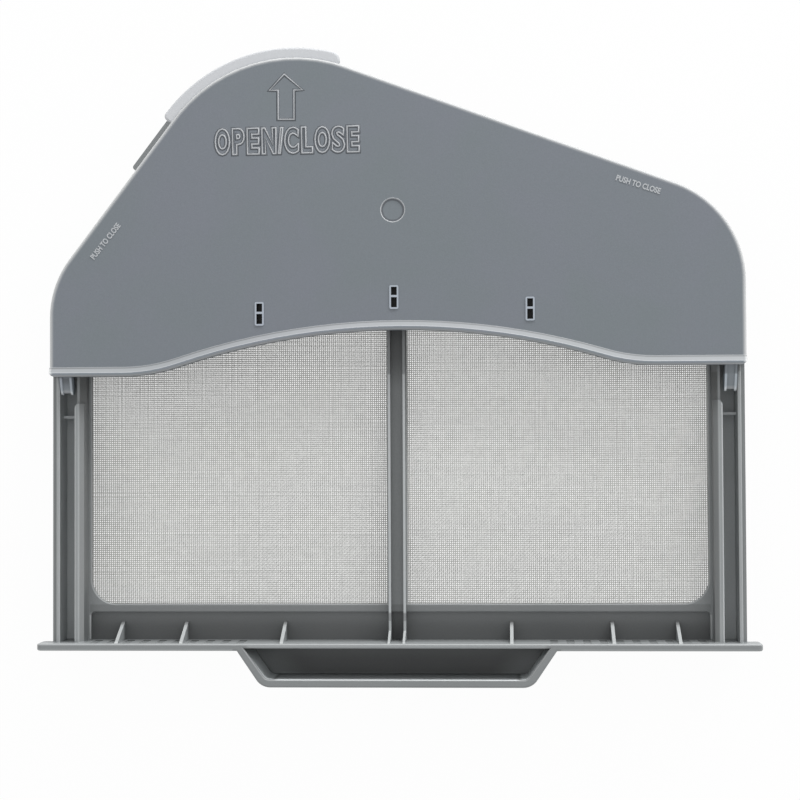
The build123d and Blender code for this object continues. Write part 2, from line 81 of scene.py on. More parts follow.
def slope_normals():
    """Angles at which the slopes leave the rounds: the tangents that two circles share."""
    left = Vector(peak) - Vector(left_shoulder)
    right = Vector(right_shoulder) - Vector(peak)
    left_turn = math.asin((peak_radius - left_shoulder_radius) / left.length)
    right_turn = math.asin((peak_radius - right_shoulder_radius) / right.length)
    left_slope = math.atan2(left.y, left.x) + left_turn
    right_slope = math.atan2(right.y, right.x) - right_turn
    return left_slope + math.pi / 2, right_slope + math.pi / 2


print("seat at", seat_y, "mm, slope normals", [round(math.degrees(a), 1) for a in slope_normals()])

# %% [markdown]
# ## Camera
# The filter was seen from straight above, a little to the right of the middle, from about 0.8 m.
# Three small turns and a shift, found by matching the straight edges, place the camera. It could
# be aimed by hand with a Track To constraint, but a rotation matrix puts each edge where it
# belongs to within a pixel.

# %% Camera
yaw, pitch, roll = -0.0556117577, -0.0288334299, 0.0046615166
target_x, target_y, distance = -1.64668, -100.80899, 800.0
flange_front_z = 30.0
focal_px = 1936.255
image_px = 800

turn_y = Matrix.Rotation(yaw, 3, "Y")
turn_x = Matrix.Rotation(pitch, 3, "X")
turn_z = Matrix.Rotation(roll, 3, "Z")
to_camera = turn_z @ turn_x @ turn_y
offset = Vector((-target_x, -target_y, distance))
eye = to_camera.transposed() @ offset + Vector((0, seat_y, flange_front_z))

lens = bpy.data.cameras.new("camera")
lens.sensor_fit = "HORIZONTAL"
lens.sensor_width = 36.0
lens.lens = focal_px * lens.sensor_width / image_px
camera = bpy.data.objects.new("camera", lens)
place = to_camera.transposed().to_4x4()
place.translation = eye * MM
camera.matrix_world = place
bpy.context.collection.objects.link(camera)
bpy.context.scene.camera = camera
print("camera at", [round(v, 4) for v in eye * MM], "lens", round(lens.lens, 2))

# %% [markdown]
# ## Node helpers
# Every finish below is a small tree of shader nodes. Two short helpers keep the trees readable:
# one adds a node and sets its values, the other joins two sockets.


# %% Node helpers
def add_node(tree, kind, place=(0, 0), **values):
    """Adds a node and sets its properties, and its input values by socket name."""
    node = tree.nodes.new(kind)
    node.location = place
    for name, value in values.items():
        if hasattr(node, name):
            setattr(node, name, value)
        else:
            node.inputs[name.replace("_", " ")].default_value = value
    return node


def join(tree, source, sink):
    """Joins an output socket to an input socket."""
    tree.links.new(source, sink)


def new_material(name):
    """A material with a Principled shader, its tree, and the shader."""
    material = bpy.data.materials.new(name)
    material.use_nodes = True
    tree = material.node_tree
    shader = tree.nodes["Principled BSDF"]
    return material, tree, shader


# %% [markdown]
# ## Floor and background
# The floor is plain white. For the camera, most of its brightness is its own, so that it stays
# white in the picture, and the rest is light that falls on it, so that the filter's shadow still
# shows.

# %% Floor
floor_half = 2.0
floor_tone = 0.88
floor_rough = 0.9
own_share = 0.96
floor_mesh = bpy.data.meshes.new("floor")
corners = np.array([(-1, -1, 0), (1, -1, 0), (1, 1, 0), (-1, 1, 0)]) * floor_half
floor_mesh.from_pydata(corners.tolist(), [], [(0, 1, 2, 3)])
floor = bpy.data.objects.new("floor", floor_mesh)
bpy.context.collection.objects.link(floor)

floor_paint, tree, shader = new_material("floor_white")
shader.inputs["Base Color"].default_value = (floor_tone, floor_tone, floor_tone, 1)
shader.inputs["Roughness"].default_value = floor_rough
own_light = add_node(tree, "ShaderNodeEmission", (0, -200), Color=(1, 1, 1, 1), Strength=1.0)
rays = add_node(tree, "ShaderNodeLightPath", (-600, 300))
seen = add_node(tree, "ShaderNodeMath", (-400, 300), operation="MAXIMUM")
join(tree, rays.outputs["Is Camera Ray"], seen.inputs[0])
join(tree, rays.outputs["Is Glossy Ray"], seen.inputs[1])
seen_through = add_node(tree, "ShaderNodeMath", (-250, 300), operation="MAXIMUM")
join(tree, seen.outputs[0], seen_through.inputs[0])
join(tree, rays.outputs["Is Transmission Ray"], seen_through.inputs[1])
share = add_node(tree, "ShaderNodeMath", (-100, 300), operation="MULTIPLY")
join(tree, seen_through.outputs[0], share.inputs[0])
share.inputs[1].default_value = own_share
blend = add_node(tree, "ShaderNodeMixShader", (250, 100))
join(tree, share.outputs[0], blend.inputs[0])
join(tree, shader.outputs[0], blend.inputs[1])
join(tree, own_light.outputs[0], blend.inputs[2])
join(tree, blend.outputs[0], tree.nodes["Material Output"].inputs["Surface"])
floor_mesh.materials.append(floor_paint)
print("floor", 2 * floor_half, "m")

# %% [markdown]
# ## Light
# The filter was lit by a pale room with a brighter ceiling, so flat faces are a plain middle grey
# and hollows, which see only a strip of the ceiling, are dark. A low broad lamp beyond the
# rounded top, a little to the right, brightens whatever faces that way, such as the upper side of
# the cover's bead, and leaves the sides that face left in shade.

# %% World and lamps
# Height of the direction, and strength of the room there
room_steps = ((0.0, 0.5), (0.4, 0.6), (0.75, 0.8), (1.0, 0.95))
brightest = max(strength for _, strength in room_steps)
world = bpy.data.worlds.new("room")
world.use_nodes = True
bpy.context.scene.world = world
tree = world.node_tree
room = tree.nodes["Background"]
facing = add_node(tree, "ShaderNodeTexCoord", (-1100, 0))
parts = add_node(tree, "ShaderNodeSeparateXYZ", (-900, 0))
join(tree, facing.outputs["Generated"], parts.inputs[0])
steps = add_node(tree, "ShaderNodeValToRGB", (-700, 0))
ramp = steps.color_ramp
while len(ramp.elements) < len(room_steps):
    ramp.elements.new(0.5)
# All places come first, because moving a step can change the order of the steps
for element, (height, _) in zip(ramp.elements, room_steps):
    element.position = height
for element, (_, strength) in zip(ramp.elements, room_steps):
    element.color = (strength / brightest, strength / brightest, strength / brightest, 1)
join(tree, parts.outputs["Z"], steps.inputs["Fac"])
join(tree, steps.outputs["Color"], room.inputs["Color"])
room.inputs["Strength"].default_value = brightest
print("room", room_steps)


def soft_lamp(name, place, aim, width, height, power):
    """A rectangular lamp that faces a point."""
    lamp = bpy.data.lights.new(name, "AREA")
    lamp.shape = "RECTANGLE"
    lamp.size = width
    lamp.size_y = height
    lamp.energy = power
    holder = bpy.data.objects.new(name, lamp)
    turn = (Vector(aim) - Vector(place)).to_track_quat("-Z", "Y")
    holder.matrix_world = Matrix.Translation(place) @ turn.to_matrix().to_4x4()
    bpy.context.collection.objects.link(holder)


lamp_place = (0.42, 1.25, 0.44)
lamp_width, lamp_height = 1.6, 0.4
lamp_power = 16.5
soft_lamp("lamp_top", lamp_place, (0, 0, 0), lamp_width, lamp_height, lamp_power)
bpy.context.scene.view_settings.view_transform = "Standard"

# %% [markdown]
# ## Moulded grain
# The plastic comes out of a mould whose walls were given a fine matt texture. Up close that is a
# pebbled surface a few hundredths of a millimetre deep, with faint clouds of tone where the melt
# flowed. The grain is one node group, so that each plastic can use it with its own strength.

# %% Moulded grain group
grain = bpy.data.node_groups.new("moulded_grain", "ShaderNodeTree")
for name, kind, default in (
    ("Plastic", "NodeSocketColor", (0.3, 0.3, 0.3, 1)),
    ("Cloud Tone", "NodeSocketColor", (0.3, 0.3, 0.3, 1)),
    ("Cloud Share", "NodeSocketFloat", 0.3),
    ("Speck Share", "NodeSocketFloat", 0.2),
    ("Pebble Scale", "NodeSocketFloat", 1400.0),
    ("Rough Low", "NodeSocketFloat", 0.4),
    ("Rough High", "NodeSocketFloat", 0.6),
):
    grain.interface.new_socket(name=name, in_out="INPUT", socket_type=kind).default_value = default
for name, kind in (
    ("Color", "NodeSocketColor"),
    ("Roughness", "NodeSocketFloat"),
    ("Height", "NodeSocketFloat"),
):
    grain.interface.new_socket(name=name, in_out="OUTPUT", socket_type=kind)

given = add_node(grain, "NodeGroupInput", (-1000, 0))
result = add_node(grain, "NodeGroupOutput", (800, 0))
where = add_node(grain, "ShaderNodeTexCoord", (-1200, -300))
pebbles = add_node(grain, "ShaderNodeTexNoise", (-700, -300), Detail=3.0, Roughness=0.6)
join(grain, where.outputs["Object"], pebbles.inputs["Vector"])
join(grain, given.outputs["Pebble Scale"], pebbles.inputs["Scale"])
clouds = add_node(
    grain, "ShaderNodeTexNoise", (-700, 300), Scale=22.0, Detail=4.0, Roughness=0.55, Distortion=0.6
)
join(grain, where.outputs["Object"], clouds.inputs["Vector"])
cloud_range = add_node(grain, "ShaderNodeMapRange", (-450, 300))
cloud_range.inputs["From Min"].default_value = 0.35
cloud_range.inputs["From Max"].default_value = 0.7
join(grain, clouds.outputs["Fac"], cloud_range.inputs["Value"])
cloud_amount = add_node(grain, "ShaderNodeMath", (-250, 300), operation="MULTIPLY")
join(grain, cloud_range.outputs["Result"], cloud_amount.inputs[0])
join(grain, given.outputs["Cloud Share"], cloud_amount.inputs[1])
toned = add_node(grain, "ShaderNodeMix", (0, 300), data_type="RGBA")
join(grain, cloud_amount.outputs[0], toned.inputs["Factor"])
join(grain, given.outputs["Plastic"], toned.inputs["A"])
join(grain, given.outputs["Cloud Tone"], toned.inputs["B"])
speck_range = add_node(grain, "ShaderNodeMapRange", (-450, 0))
speck_range.inputs["From Min"].default_value = 0.3
speck_range.inputs["From Max"].default_value = 0.75
speck_range.inputs["To Min"].default_value = -0.5
speck_range.inputs["To Max"].default_value = 0.5
join(grain, pebbles.outputs["Fac"], speck_range.inputs["Value"])
speck_amount = add_node(grain, "ShaderNodeMath", (-250, 0), operation="MULTIPLY_ADD")
join(grain, speck_range.outputs["Result"], speck_amount.inputs[0])
join(grain, given.outputs["Speck Share"], speck_amount.inputs[1])
speck_amount.inputs[2].default_value = 1.0
speckled = add_node(grain, "ShaderNodeVectorMath", (250, 200), operation="SCALE")
join(grain, toned.outputs["Result"], speckled.inputs[0])
join(grain, speck_amount.outputs[0], speckled.inputs["Scale"])
join(grain, speckled.outputs[0], result.inputs["Color"])
rough_range = add_node(grain, "ShaderNodeMapRange", (250, -100))
join(grain, clouds.outputs["Fac"], rough_range.inputs["Value"])
join(grain, given.outputs["Rough Low"], rough_range.inputs["To Min"])
join(grain, given.outputs["Rough High"], rough_range.inputs["To Max"])
join(grain, rough_range.outputs["Result"], result.inputs["Roughness"])
join(grain, pebbles.outputs["Fac"], result.inputs["Height"])
print("group", grain.name)

# %% [markdown]
# ## Painted edge highlight
# Rounded and bevelled edges catch more light than the flats beside them, and that highlight is
# painted into the colour as a paler tone. An edge can be found by its slope: the upward part of
# the normal is 1 on a flat and 0 on a wall, and lies in between on a round or a bevel. The group
# turns that into a mask, lowers it on edges that face the handle, away from the lamp, and blends
# a colour towards a pale one by share * mask. A rim whose painted highlight reaches further in can
# hand in a band of its own.

# %% Painted edge highlight group
edge_highlight_group = bpy.data.node_groups.new("painted_edge_highlight", "ShaderNodeTree")
for name, kind, default in (
    ("Color", "NodeSocketColor", (0.3, 0.3, 0.3, 1)),
    ("Pale", "NodeSocketColor", (0.5, 0.5, 0.5, 1)),
    ("Share", "NodeSocketFloat", 0.3),
    ("Band", "NodeSocketFloat", 0.0),
):
    edge_highlight_group.interface.new_socket(name=name, in_out="INPUT", socket_type=kind).default_value = default
edge_highlight_group.interface.new_socket(name="Color", in_out="OUTPUT", socket_type="NodeSocketColor")
given = add_node(edge_highlight_group, "NodeGroupInput", (-800, 0))
result = add_node(edge_highlight_group, "NodeGroupOutput", (600, 0))
where = add_node(edge_highlight_group, "ShaderNodeTexCoord", (-1000, 300))
parts = add_node(edge_highlight_group, "ShaderNodeSeparateXYZ", (-800, 300))
join(edge_highlight_group, where.outputs["Normal"], parts.inputs[0])
off_wall = add_node(edge_highlight_group, "ShaderNodeMapRange", (-600, 400), interpolation_type="SMOOTHSTEP")
off_wall.inputs["From Min"].default_value = 0.12
off_wall.inputs["From Max"].default_value = 0.35
join(edge_highlight_group, parts.outputs["Z"], off_wall.inputs["Value"])
off_flat = add_node(edge_highlight_group, "ShaderNodeMapRange", (-600, 150), interpolation_type="SMOOTHSTEP")
off_flat.inputs["From Min"].default_value = 0.55
off_flat.inputs["From Max"].default_value = 0.985
off_flat.inputs["To Min"].default_value = 1.0
off_flat.inputs["To Max"].default_value = 0.0
join(edge_highlight_group, parts.outputs["Z"], off_flat.inputs["Value"])
# Painted highlight is weaker on edges that face the handle, away from the lamp
facing = add_node(edge_highlight_group, "ShaderNodeMapRange", (-600, 650))
facing.inputs["From Min"].default_value = -0.8
facing.inputs["From Max"].default_value = -0.25
facing.inputs["To Min"].default_value = 0.4
join(edge_highlight_group, parts.outputs["Y"], facing.inputs["Value"])
edge = add_node(edge_highlight_group, "ShaderNodeMath", (-350, 150), operation="MAXIMUM")
join(edge_highlight_group, off_flat.outputs["Result"], edge.inputs[0])
join(edge_highlight_group, given.outputs["Band"], edge.inputs[1])
mask = add_node(edge_highlight_group, "ShaderNodeMath", (-350, 400), operation="MULTIPLY")
join(edge_highlight_group, off_wall.outputs["Result"], mask.inputs[0])
join(edge_highlight_group, facing.outputs["Result"], mask.inputs[1])
found = add_node(edge_highlight_group, "ShaderNodeMath", (-200, 300), operation="MULTIPLY")
join(edge_highlight_group, mask.outputs[0], found.inputs[0])
join(edge_highlight_group, edge.outputs[0], found.inputs[1])
amount = add_node(edge_highlight_group, "ShaderNodeMath", (-50, 200), operation="MULTIPLY")
join(edge_highlight_group, found.outputs[0], amount.inputs[0])
join(edge_highlight_group, given.outputs["Share"], amount.inputs[1])
highlighted = add_node(edge_highlight_group, "ShaderNodeMix", (200, 0), data_type="RGBA")
join(edge_highlight_group, amount.outputs[0], highlighted.inputs["Factor"])
join(edge_highlight_group, given.outputs["Color"], highlighted.inputs["A"])
join(edge_highlight_group, given.outputs["Pale"], highlighted.inputs["B"])
join(edge_highlight_group, highlighted.outputs["Result"], result.inputs["Color"])
print("group", edge_highlight_group.name)

# %% [markdown]
# ## Plastics
# The frame is a satin mid grey, the cover a darker and finer-textured grey, and the pull tab a
# pale, smoother grey. Each is the grain group with its own colour, tone and depth, ahead of one
# Principled shader, and the edge group paints a highlight on its edges.


# %% Plastics
plastic_shine = 0.4


def plastic(name, colour, tone, cloud, speck, pebble, rough, depth, pale, highlight_share):
    """Moulded plastic: the grain group colours, roughens and pebbles it; edges get a painted highlight.
    """
    material, tree, shader = new_material(name)
    skin = add_node(tree, "ShaderNodeGroup", (-500, 0), node_tree=grain)
    skin.inputs["Plastic"].default_value = colour
    skin.inputs["Cloud Tone"].default_value = tone
    skin.inputs["Cloud Share"].default_value = cloud
    skin.inputs["Speck Share"].default_value = speck
    skin.inputs["Pebble Scale"].default_value = pebble
    skin.inputs["Rough Low"].default_value = rough[0]
    skin.inputs["Rough High"].default_value = rough[1]
    bump = add_node(tree, "ShaderNodeBump", (-250, -250), Strength=1.0, Distance=depth)
    join(tree, skin.outputs["Height"], bump.inputs["Height"])
    # Painted highlight on the edges, by their share
    edges = add_node(tree, "ShaderNodeGroup", (-350, 200), node_tree=edge_highlight_group)
    edges.inputs["Pale"].default_value = pale
    edges.inputs["Share"].default_value = highlight_share
    join(tree, skin.outputs["Color"], edges.inputs["Color"])
    join(tree, edges.outputs["Color"], shader.inputs["Base Color"])
    join(tree, skin.outputs["Roughness"], shader.inputs["Roughness"])
    join(tree, bump.outputs["Normal"], shader.inputs["Normal"])
    shader.inputs["Specular IOR Level"].default_value = plastic_shine
    return material, tree, shader, edges


frame_plastic, frame_tree, frame_shader, frame_edges = plastic(
    "frame_plastic",
    colour=linear(134, 137, 138),
    tone=linear(127, 131, 132),
    cloud=0.6,
    speck=0.10,
    pebble=1500.0,
    rough=(0.36, 0.5),
    depth=0.00002,
    pale=linear(192, 194, 194),
    highlight_share=0.32,
)
cover_plastic, cover_tree, cover_shader, cover_edges = plastic(
    "cover_plastic",
    colour=linear(120, 125, 133),
    tone=linear(117, 125, 129),
    cloud=0.8,
    speck=0.10,
    pebble=1900.0,
    rough=(0.42, 0.58),
    depth=0.00003,
    pale=linear(214, 215, 215),
    highlight_share=0.95,
)
tab_plastic, *_ = plastic(
    "tab_plastic",
    colour=linear(201, 203, 206),
    tone=linear(196, 199, 203),
    cloud=0.5,
    speck=0.05,
    pebble=1500.0,
    rough=(0.35, 0.5),
    depth=0.00001,
    pale=linear(216, 217, 218),
    highlight_share=0.3,
)
# A pale copy of the cover plastic: painted highlight on the raised beads, small words and gate slope
painted_highlight_plastic, *_ = plastic(
    "painted_highlight_plastic",
    colour=linear(182, 185, 188),
    tone=linear(176, 180, 184),
    cloud=0.5,
    speck=0.05,
    pebble=1900.0,
    rough=(0.4, 0.5),
    depth=0.00001,
    pale=linear(205, 207, 209),
    highlight_share=0.6,
)
# A darker copy of the cover plastic: painted shade lines beside the beads and at the gate recess's foot
painted_shade_plastic, *_ = plastic(
    "painted_shade_plastic",
    colour=linear(98, 102, 108),
    tone=linear(94, 99, 104),
    cloud=0.5,
    speck=0.05,
    pebble=1900.0,
    rough=(0.5, 0.6),
    depth=0.00001,
    pale=linear(98, 102, 108),
    highlight_share=0.0,
)
for node, material in (("frame", frame_plastic), ("cover", cover_plastic), ("pull_tab", tab_plastic)):
    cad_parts[node].data.materials.clear()
    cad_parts[node].data.materials.append(material)
print("plastics on frame, cover and pull_tab")

# %% [markdown]
# ## Rim of the cover
# The cover's rim is rounded over nearly two millimetres and catches the light, so it gets a wider
# band of painted highlight. How deep a point lies inside a convex outline is the least, over all
# directions, of how far the outline reaches in that direction minus how far the point does. A few
# dozen directions are enough, if the two slopes' own are among them.


# %% Rim of the cover
rim_overhang = 0.4
rim_width = 2.0
rim_degrees = 6


def rim_band(tree, overhang, width, step):
    """Mask that falls from 1 on the case's outline, widened by an overhang, to 0 at a width inside.

    The outline is the hull of three circles, which reaches max(centre . n + radius) along n. A
    step in degrees parts the directions.
    """
    rounds = (
        (left_shoulder, left_shoulder_radius),
        (peak, peak_radius),
        (right_shoulder, right_shoulder_radius),
    )
    where = add_node(tree, "ShaderNodeTexCoord", (-1900, -600))
    depth = None
    turns = np.append(np.radians(np.arange(0, 181, step)), slope_normals())
    for number, turn in enumerate(turns):
        row = -600 - 200 * number
        normal = Vector((math.cos(turn), math.sin(turn), 0))
        reach = max(Vector((*centre, 0)).dot(normal) + radius for centre, radius in rounds) + overhang
        reached = add_node(tree, "ShaderNodeVectorMath", (-1700, row), operation="DOT_PRODUCT")
        join(tree, where.outputs["Object"], reached.inputs[0])
        reached.inputs[1].default_value = normal
        left = add_node(tree, "ShaderNodeMath", (-1500, row), operation="SUBTRACT")
        left.inputs[0].default_value = (reach + normal.y * seat_y) * MM
        join(tree, reached.outputs["Value"], left.inputs[1])
        if depth is None:
            depth = left.outputs[0]
        else:
            least = add_node(tree, "ShaderNodeMath", (-1300, row), operation="MINIMUM")
            join(tree, depth, least.inputs[0])
            join(tree, left.outputs[0], least.inputs[1])
            depth = least.outputs[0]
    band = add_node(tree, "ShaderNodeMapRange", (-1100, -600), interpolation_type="SMOOTHSTEP")
    band.inputs["From Min"].default_value = 0.0
    band.inputs["From Max"].default_value = width * MM
    band.inputs["To Min"].default_value = 1.0
    band.inputs["To Max"].default_value = 0.0
    join(tree, depth, band.inputs["Value"])
    return band.outputs["Result"]


# Painted highlight band along the cover's rounded rim
rim = rim_band(cover_tree, rim_overhang, rim_width, rim_degrees)
join(cover_tree, rim, cover_edges.inputs["Band"])
print("rim band on the cover")

# %% [markdown]
# ## Shade in the hollows
# Shade is painted into the plastic where little light reaches: in the pocket behind the flange, in
# the handle, in the grille's lowest holes, in the cover's slots and beside the cover's edge.
# Highlights are painted on rims, edges and ribs that catch the light. Each place is a box in the
# object's own coordinates, and inside it the plastic is darkened, or with a minus sign made paler. A
# box is the product of three bands, each of which rises and falls smoothly. Leaning boxes follow the
# handle's slanted walls.


# %% Shade in the hollows
def product(tree, first, second, place):
    """Product of two values, or the second alone where there is no first."""
    if first is None:
        return second
    both = add_node(tree, "ShaderNodeMath", place, operation="MULTIPLY")
    join(tree, first, both.inputs[0])
    join(tree, second, both.inputs[1])
    return both.outputs[0]


def hollow_shade(tree, shader, edges, hollows):
    """Shades a finish inside boxes: its colour times the product over them of 1 - amount * inside."""
    where = add_node(tree, "ShaderNodeTexCoord", (-1900, 500))
    parts = add_node(tree, "ShaderNodeSeparateXYZ", (-1700, 500))
    join(tree, where.outputs["Object"], parts.inputs[0])
    kept = None
    for number, (across, spans, softs, amount) in enumerate(hollows):
        row = 500 + 300 * number
        outward = add_node(tree, "ShaderNodeVectorMath", (-1500, row), operation="DOT_PRODUCT")
        join(tree, where.outputs["Object"], outward.inputs[0])
        outward.inputs[1].default_value = across
        values = (outward.outputs["Value"], parts.outputs["Y"], parts.outputs["Z"])
        inside = None
        for value, (low, high), (rise, fall) in zip(values, spans, softs):
            for place, soft, below, above in ((low, rise, 0.0, 1.0), (high, fall, 1.0, 0.0)):
                band = add_node(tree, "ShaderNodeMapRange", (-1300, row))
                band.interpolation_type = "SMOOTHSTEP"
                band.inputs["From Min"].default_value = (place - soft) * MM
                band.inputs["From Max"].default_value = (place + soft) * MM
                band.inputs["To Min"].default_value = below
                band.inputs["To Max"].default_value = above
                join(tree, value, band.inputs["Value"])
                inside = product(tree, inside, band.outputs["Result"], (-1100, row))
        left = add_node(tree, "ShaderNodeMath", (-900, row), operation="MULTIPLY_ADD")
        join(tree, inside, left.inputs[0])
        left.inputs[1].default_value = -amount
        left.inputs[2].default_value = 1.0
        kept = product(tree, kept, left.outputs[0], (-750, row))
    shaded = add_node(tree, "ShaderNodeVectorMath", (-200, 300), operation="SCALE")
    join(tree, edges.outputs["Color"], shaded.inputs[0])
    join(tree, kept, shaded.inputs["Scale"])
    join(tree, shaded.outputs[0], shader.inputs["Base Color"])


def hollow(x, y, z, soft, amount, side=1, lean=0.0):
    """One hollow from its spans in millimetres, with Y counted from the seat.

    The first span is of side * x - lean * y, so a box can lie on either side and follow a slanted
    wall. A softness is one number, or a pair where the low and the high end differ.
    """
    spans = ((x[0] - lean * seat_y, x[1] - lean * seat_y), (y[0] + seat_y, y[1] + seat_y), z)
    softs = [each if isinstance(each, tuple) else (each, each) for each in soft]
    return (side, -lean, 0), spans, softs, amount


handle_lean = 0.709
wall_soft = ((0.8, 0.5), (0.2, 4.0), (1.0, 0.6))
gusset_places = (3.1, 47.8, 89.9, 117.1)
gusset_half = 0.9
frame_hollows = [
    # Painted shade in the pocket behind the flange
    hollow((-131, 131), (0.1, 8), (2, 15.5), (1.0, (0.05, 5.0), 2.0), 0.45),
    hollow((-131, 131), (0.1, 11.9), (2, 14.9), (0.3, (0.05, 0.2), 0.1), 0.25),
    hollow((-131, 131), (11.9, 15.2), (14.6, 15.4), (0.5, 0.3, 0.2), 0.22),
    # Handle: painted shade in the whole hollow, and painted light on its floor under the
    # flange and on its lower wall
    hollow((-66, 66), (-15, -1.95), (2, 29.4), (0.5, 0.1, 0.6), 0.54),
    hollow((-66, 66), (-6.5, -1.95), (2, 9), (0.5, (3.0, 0.05), 1.0), -0.35),
    hollow((-50.5, 50.5), (-15, -14.2), (10, 29.9), (1.5, 0.1, (6.0, 0.3)), -2.5),
    # Flange: painted highlights on its upper edge and on the strip over the handle
    hollow((-150, 150), (-0.7, 0.4), (19.5, 30.5), (0.5, 0.2, 2.0), -0.6),
    hollow((-62, 62), (-2.1, -0.8), (28.6, 30.5), (1.0, 0.2, 0.3), -0.4),
    # Painted shade on the bar under the cover, and painted light on the rail on the left slope
    hollow((-4.1, 4.1), (112, 160), (12, 19), (0.3, 9.0, 2.0), 0.55),
    hollow((-114, -89), (188, 224), (14, 20.5), (1.0, 1.0, 0.3), -0.2),
    # Painted shade on the inner face of the left channel's inner wall
    hollow((131.3, 131.8), (0.5, 112), (15.2, 23.8), (0.1, 0.3, 0.2), 0.15, -1),
]
for side, bevel_shade, channel_lift in ((-1, 0.1, -0.95), (1, 0.32, -0.75)):
    frame_hollows += [
        # Inner wall of a channel: painted shade on its bevel and face, more of it on both beside the
        # cover, and painted highlights on its top and on the two edges of its top
        hollow((131.4, 133.5), (0.5, 112), (17, 26.5), (0.15, 0.3, 2.0), bevel_shade, side),
        hollow((131.4, 133.5), (100, 128), (12, 26.5), (0.15, (9.0, 0.3), 2.0), 0.52, side),
        hollow((133.6, 135.5), (0.5, 100.5), (25, 26.5), (0.15, 0.3, 0.6), -0.25, side),
        hollow((133.2, 133.8), (0.5, 100.5), (24.4, 26.5), (0.1, 0.3, 0.2), -0.35, side),
        hollow((134.8, 135.6), (0.5, 100.5), (24.4, 26.5), (0.1, 0.3, 0.2), -0.5, side),
        # Painted light in the channel and on the lip of the outer wall, painted shade on its shoulder
        hollow((135.5, 141.8), (0.5, 128), (8, 21), (0.1, 0.3, 3.0), channel_lift, side),
        hollow((141.4, 142.9), (0.5, 112), (25.3, 26.5), (0.1, 0.3, 0.2), -0.4, side),
        hollow((143.1, 145), (0.5, 112), (24.7, 25.3), (0.1, 0.3, 0.2), 0.1, side),
        # Painted highlight on the end of the pocket, and painted shade in the lowest holes of the
        # grille
        hollow((130.2, 131.2), (0.8, 10.8), (14.2, 15.3), (0.1, 0.3, 0.2), -0.6, side),
        hollow((61, 131), (-2.4, -0.06), (12, 18), (0.5, 0.04, 1.0), 0.9, side),
        # Painted highlights on the ribs of the bar and on the flange's lower edge
        hollow((2.4, 3.8), (12, 112), (19, 20.5), (0.1, 0.5, 0.3), -0.9, side),
        hollow((68, 152), (-3.2, -2.2), (28.8, 30.5), (0.5, 0.2, 0.3), -0.4, side),
        # Handle: painted light on the corners of its floor, on its slanted walls, and on their outer
        # faces
        hollow((56, 66.5), (-15.2, -6), (2, 7.2), ((9, 0.5), (0.2, 4), 0.3), -1.2, side, handle_lean),
        hollow((62, 66.5), (-15.3, -5), (8, 28.9), wall_soft, -4.8, side, handle_lean),
        hollow((67, 80), (-15, -3.5), (2, 29.4), (0.3, (0.1, 0.7), 0.6), -1.17, side, handle_lean),
    ]
    # Painted highlight on each gusset's slanted edge
    for x in gusset_places:
        gusset = (x - gusset_half, x + gusset_half)
        frame_hollows.append(hollow(gusset, (0.3, 8.6), (12.4, 30), (0.1, 0.2, 0.3), -0.6, side))
hollow_shade(frame_tree, frame_shader, frame_edges, frame_hollows)

cover_hollows = []
for x, y in slot_places:
    # Painted shade in the depth of a slot, and painted highlight on its rim
    cover_hollows += [
        hollow((x - 1.22, x + 1.22), (y - 4.27, y + 4.27), (26, 30.4), (0.03, 0.03, 0.25), 0.95),
        hollow((x - 2.2, x + 2.2), (y - 5.2, y + 5.2), (30.4, 31.5), (0.1, 0.1, 0.08), -1.15),
    ]
for x, top in (((-42, 42), 136), ((-150, -42), 131), ((42, 150), 131)):
    # Painted shade at the foot of the bead, and painted highlight on its crest
    cover_hollows += [
        hollow(x, (100, top), (30.45, 30.85), (0.01, 0.2, 0.15), 0.4),
        hollow(x, (100, top), (31.9, 33), (0.01, 0.2, 0.15), -0.35),
    ]
# Painted shade at the root of the left hinge arm, painted light on both arms and their ribs
cover_hollows.append(hollow((137.2, 140.2), (108.2, 111), (12, 29), (0.2, (2.0, 0.5), 0.5), 0.4, -1))
for side, arm_lift, rib_lift in ((-1, -0.18, -0.6), (1, -0.14, -0.9)):
    cover_hollows += [
        hollow((135, 142), (90, 111), (12, 29), (0.2, 0.5, 0.5), arm_lift, side),
        hollow((136.1, 137.2), (90, 111), (12, 29), (0.1, 0.5, 0.5), rib_lift, side),
        hollow((140.2, 141.3), (90, 111), (12, 29), (0.1, 0.5, 0.5), rib_lift, side),
    ]
hollow_shade(cover_tree, cover_shader, cover_edges, cover_hollows)
print("hollows", len(frame_hollows) + len(cover_hollows))

# %% [markdown]
# ## Filament
# The screens are woven from pale polyester thread. Thread is a little glossy, and its tone
# wanders along its length. It is a little darker towards the bottom and along the left edge, and
# painted light brightens the upper part, where the cover's shade falls. The boxes of the last cell
# shade it too.

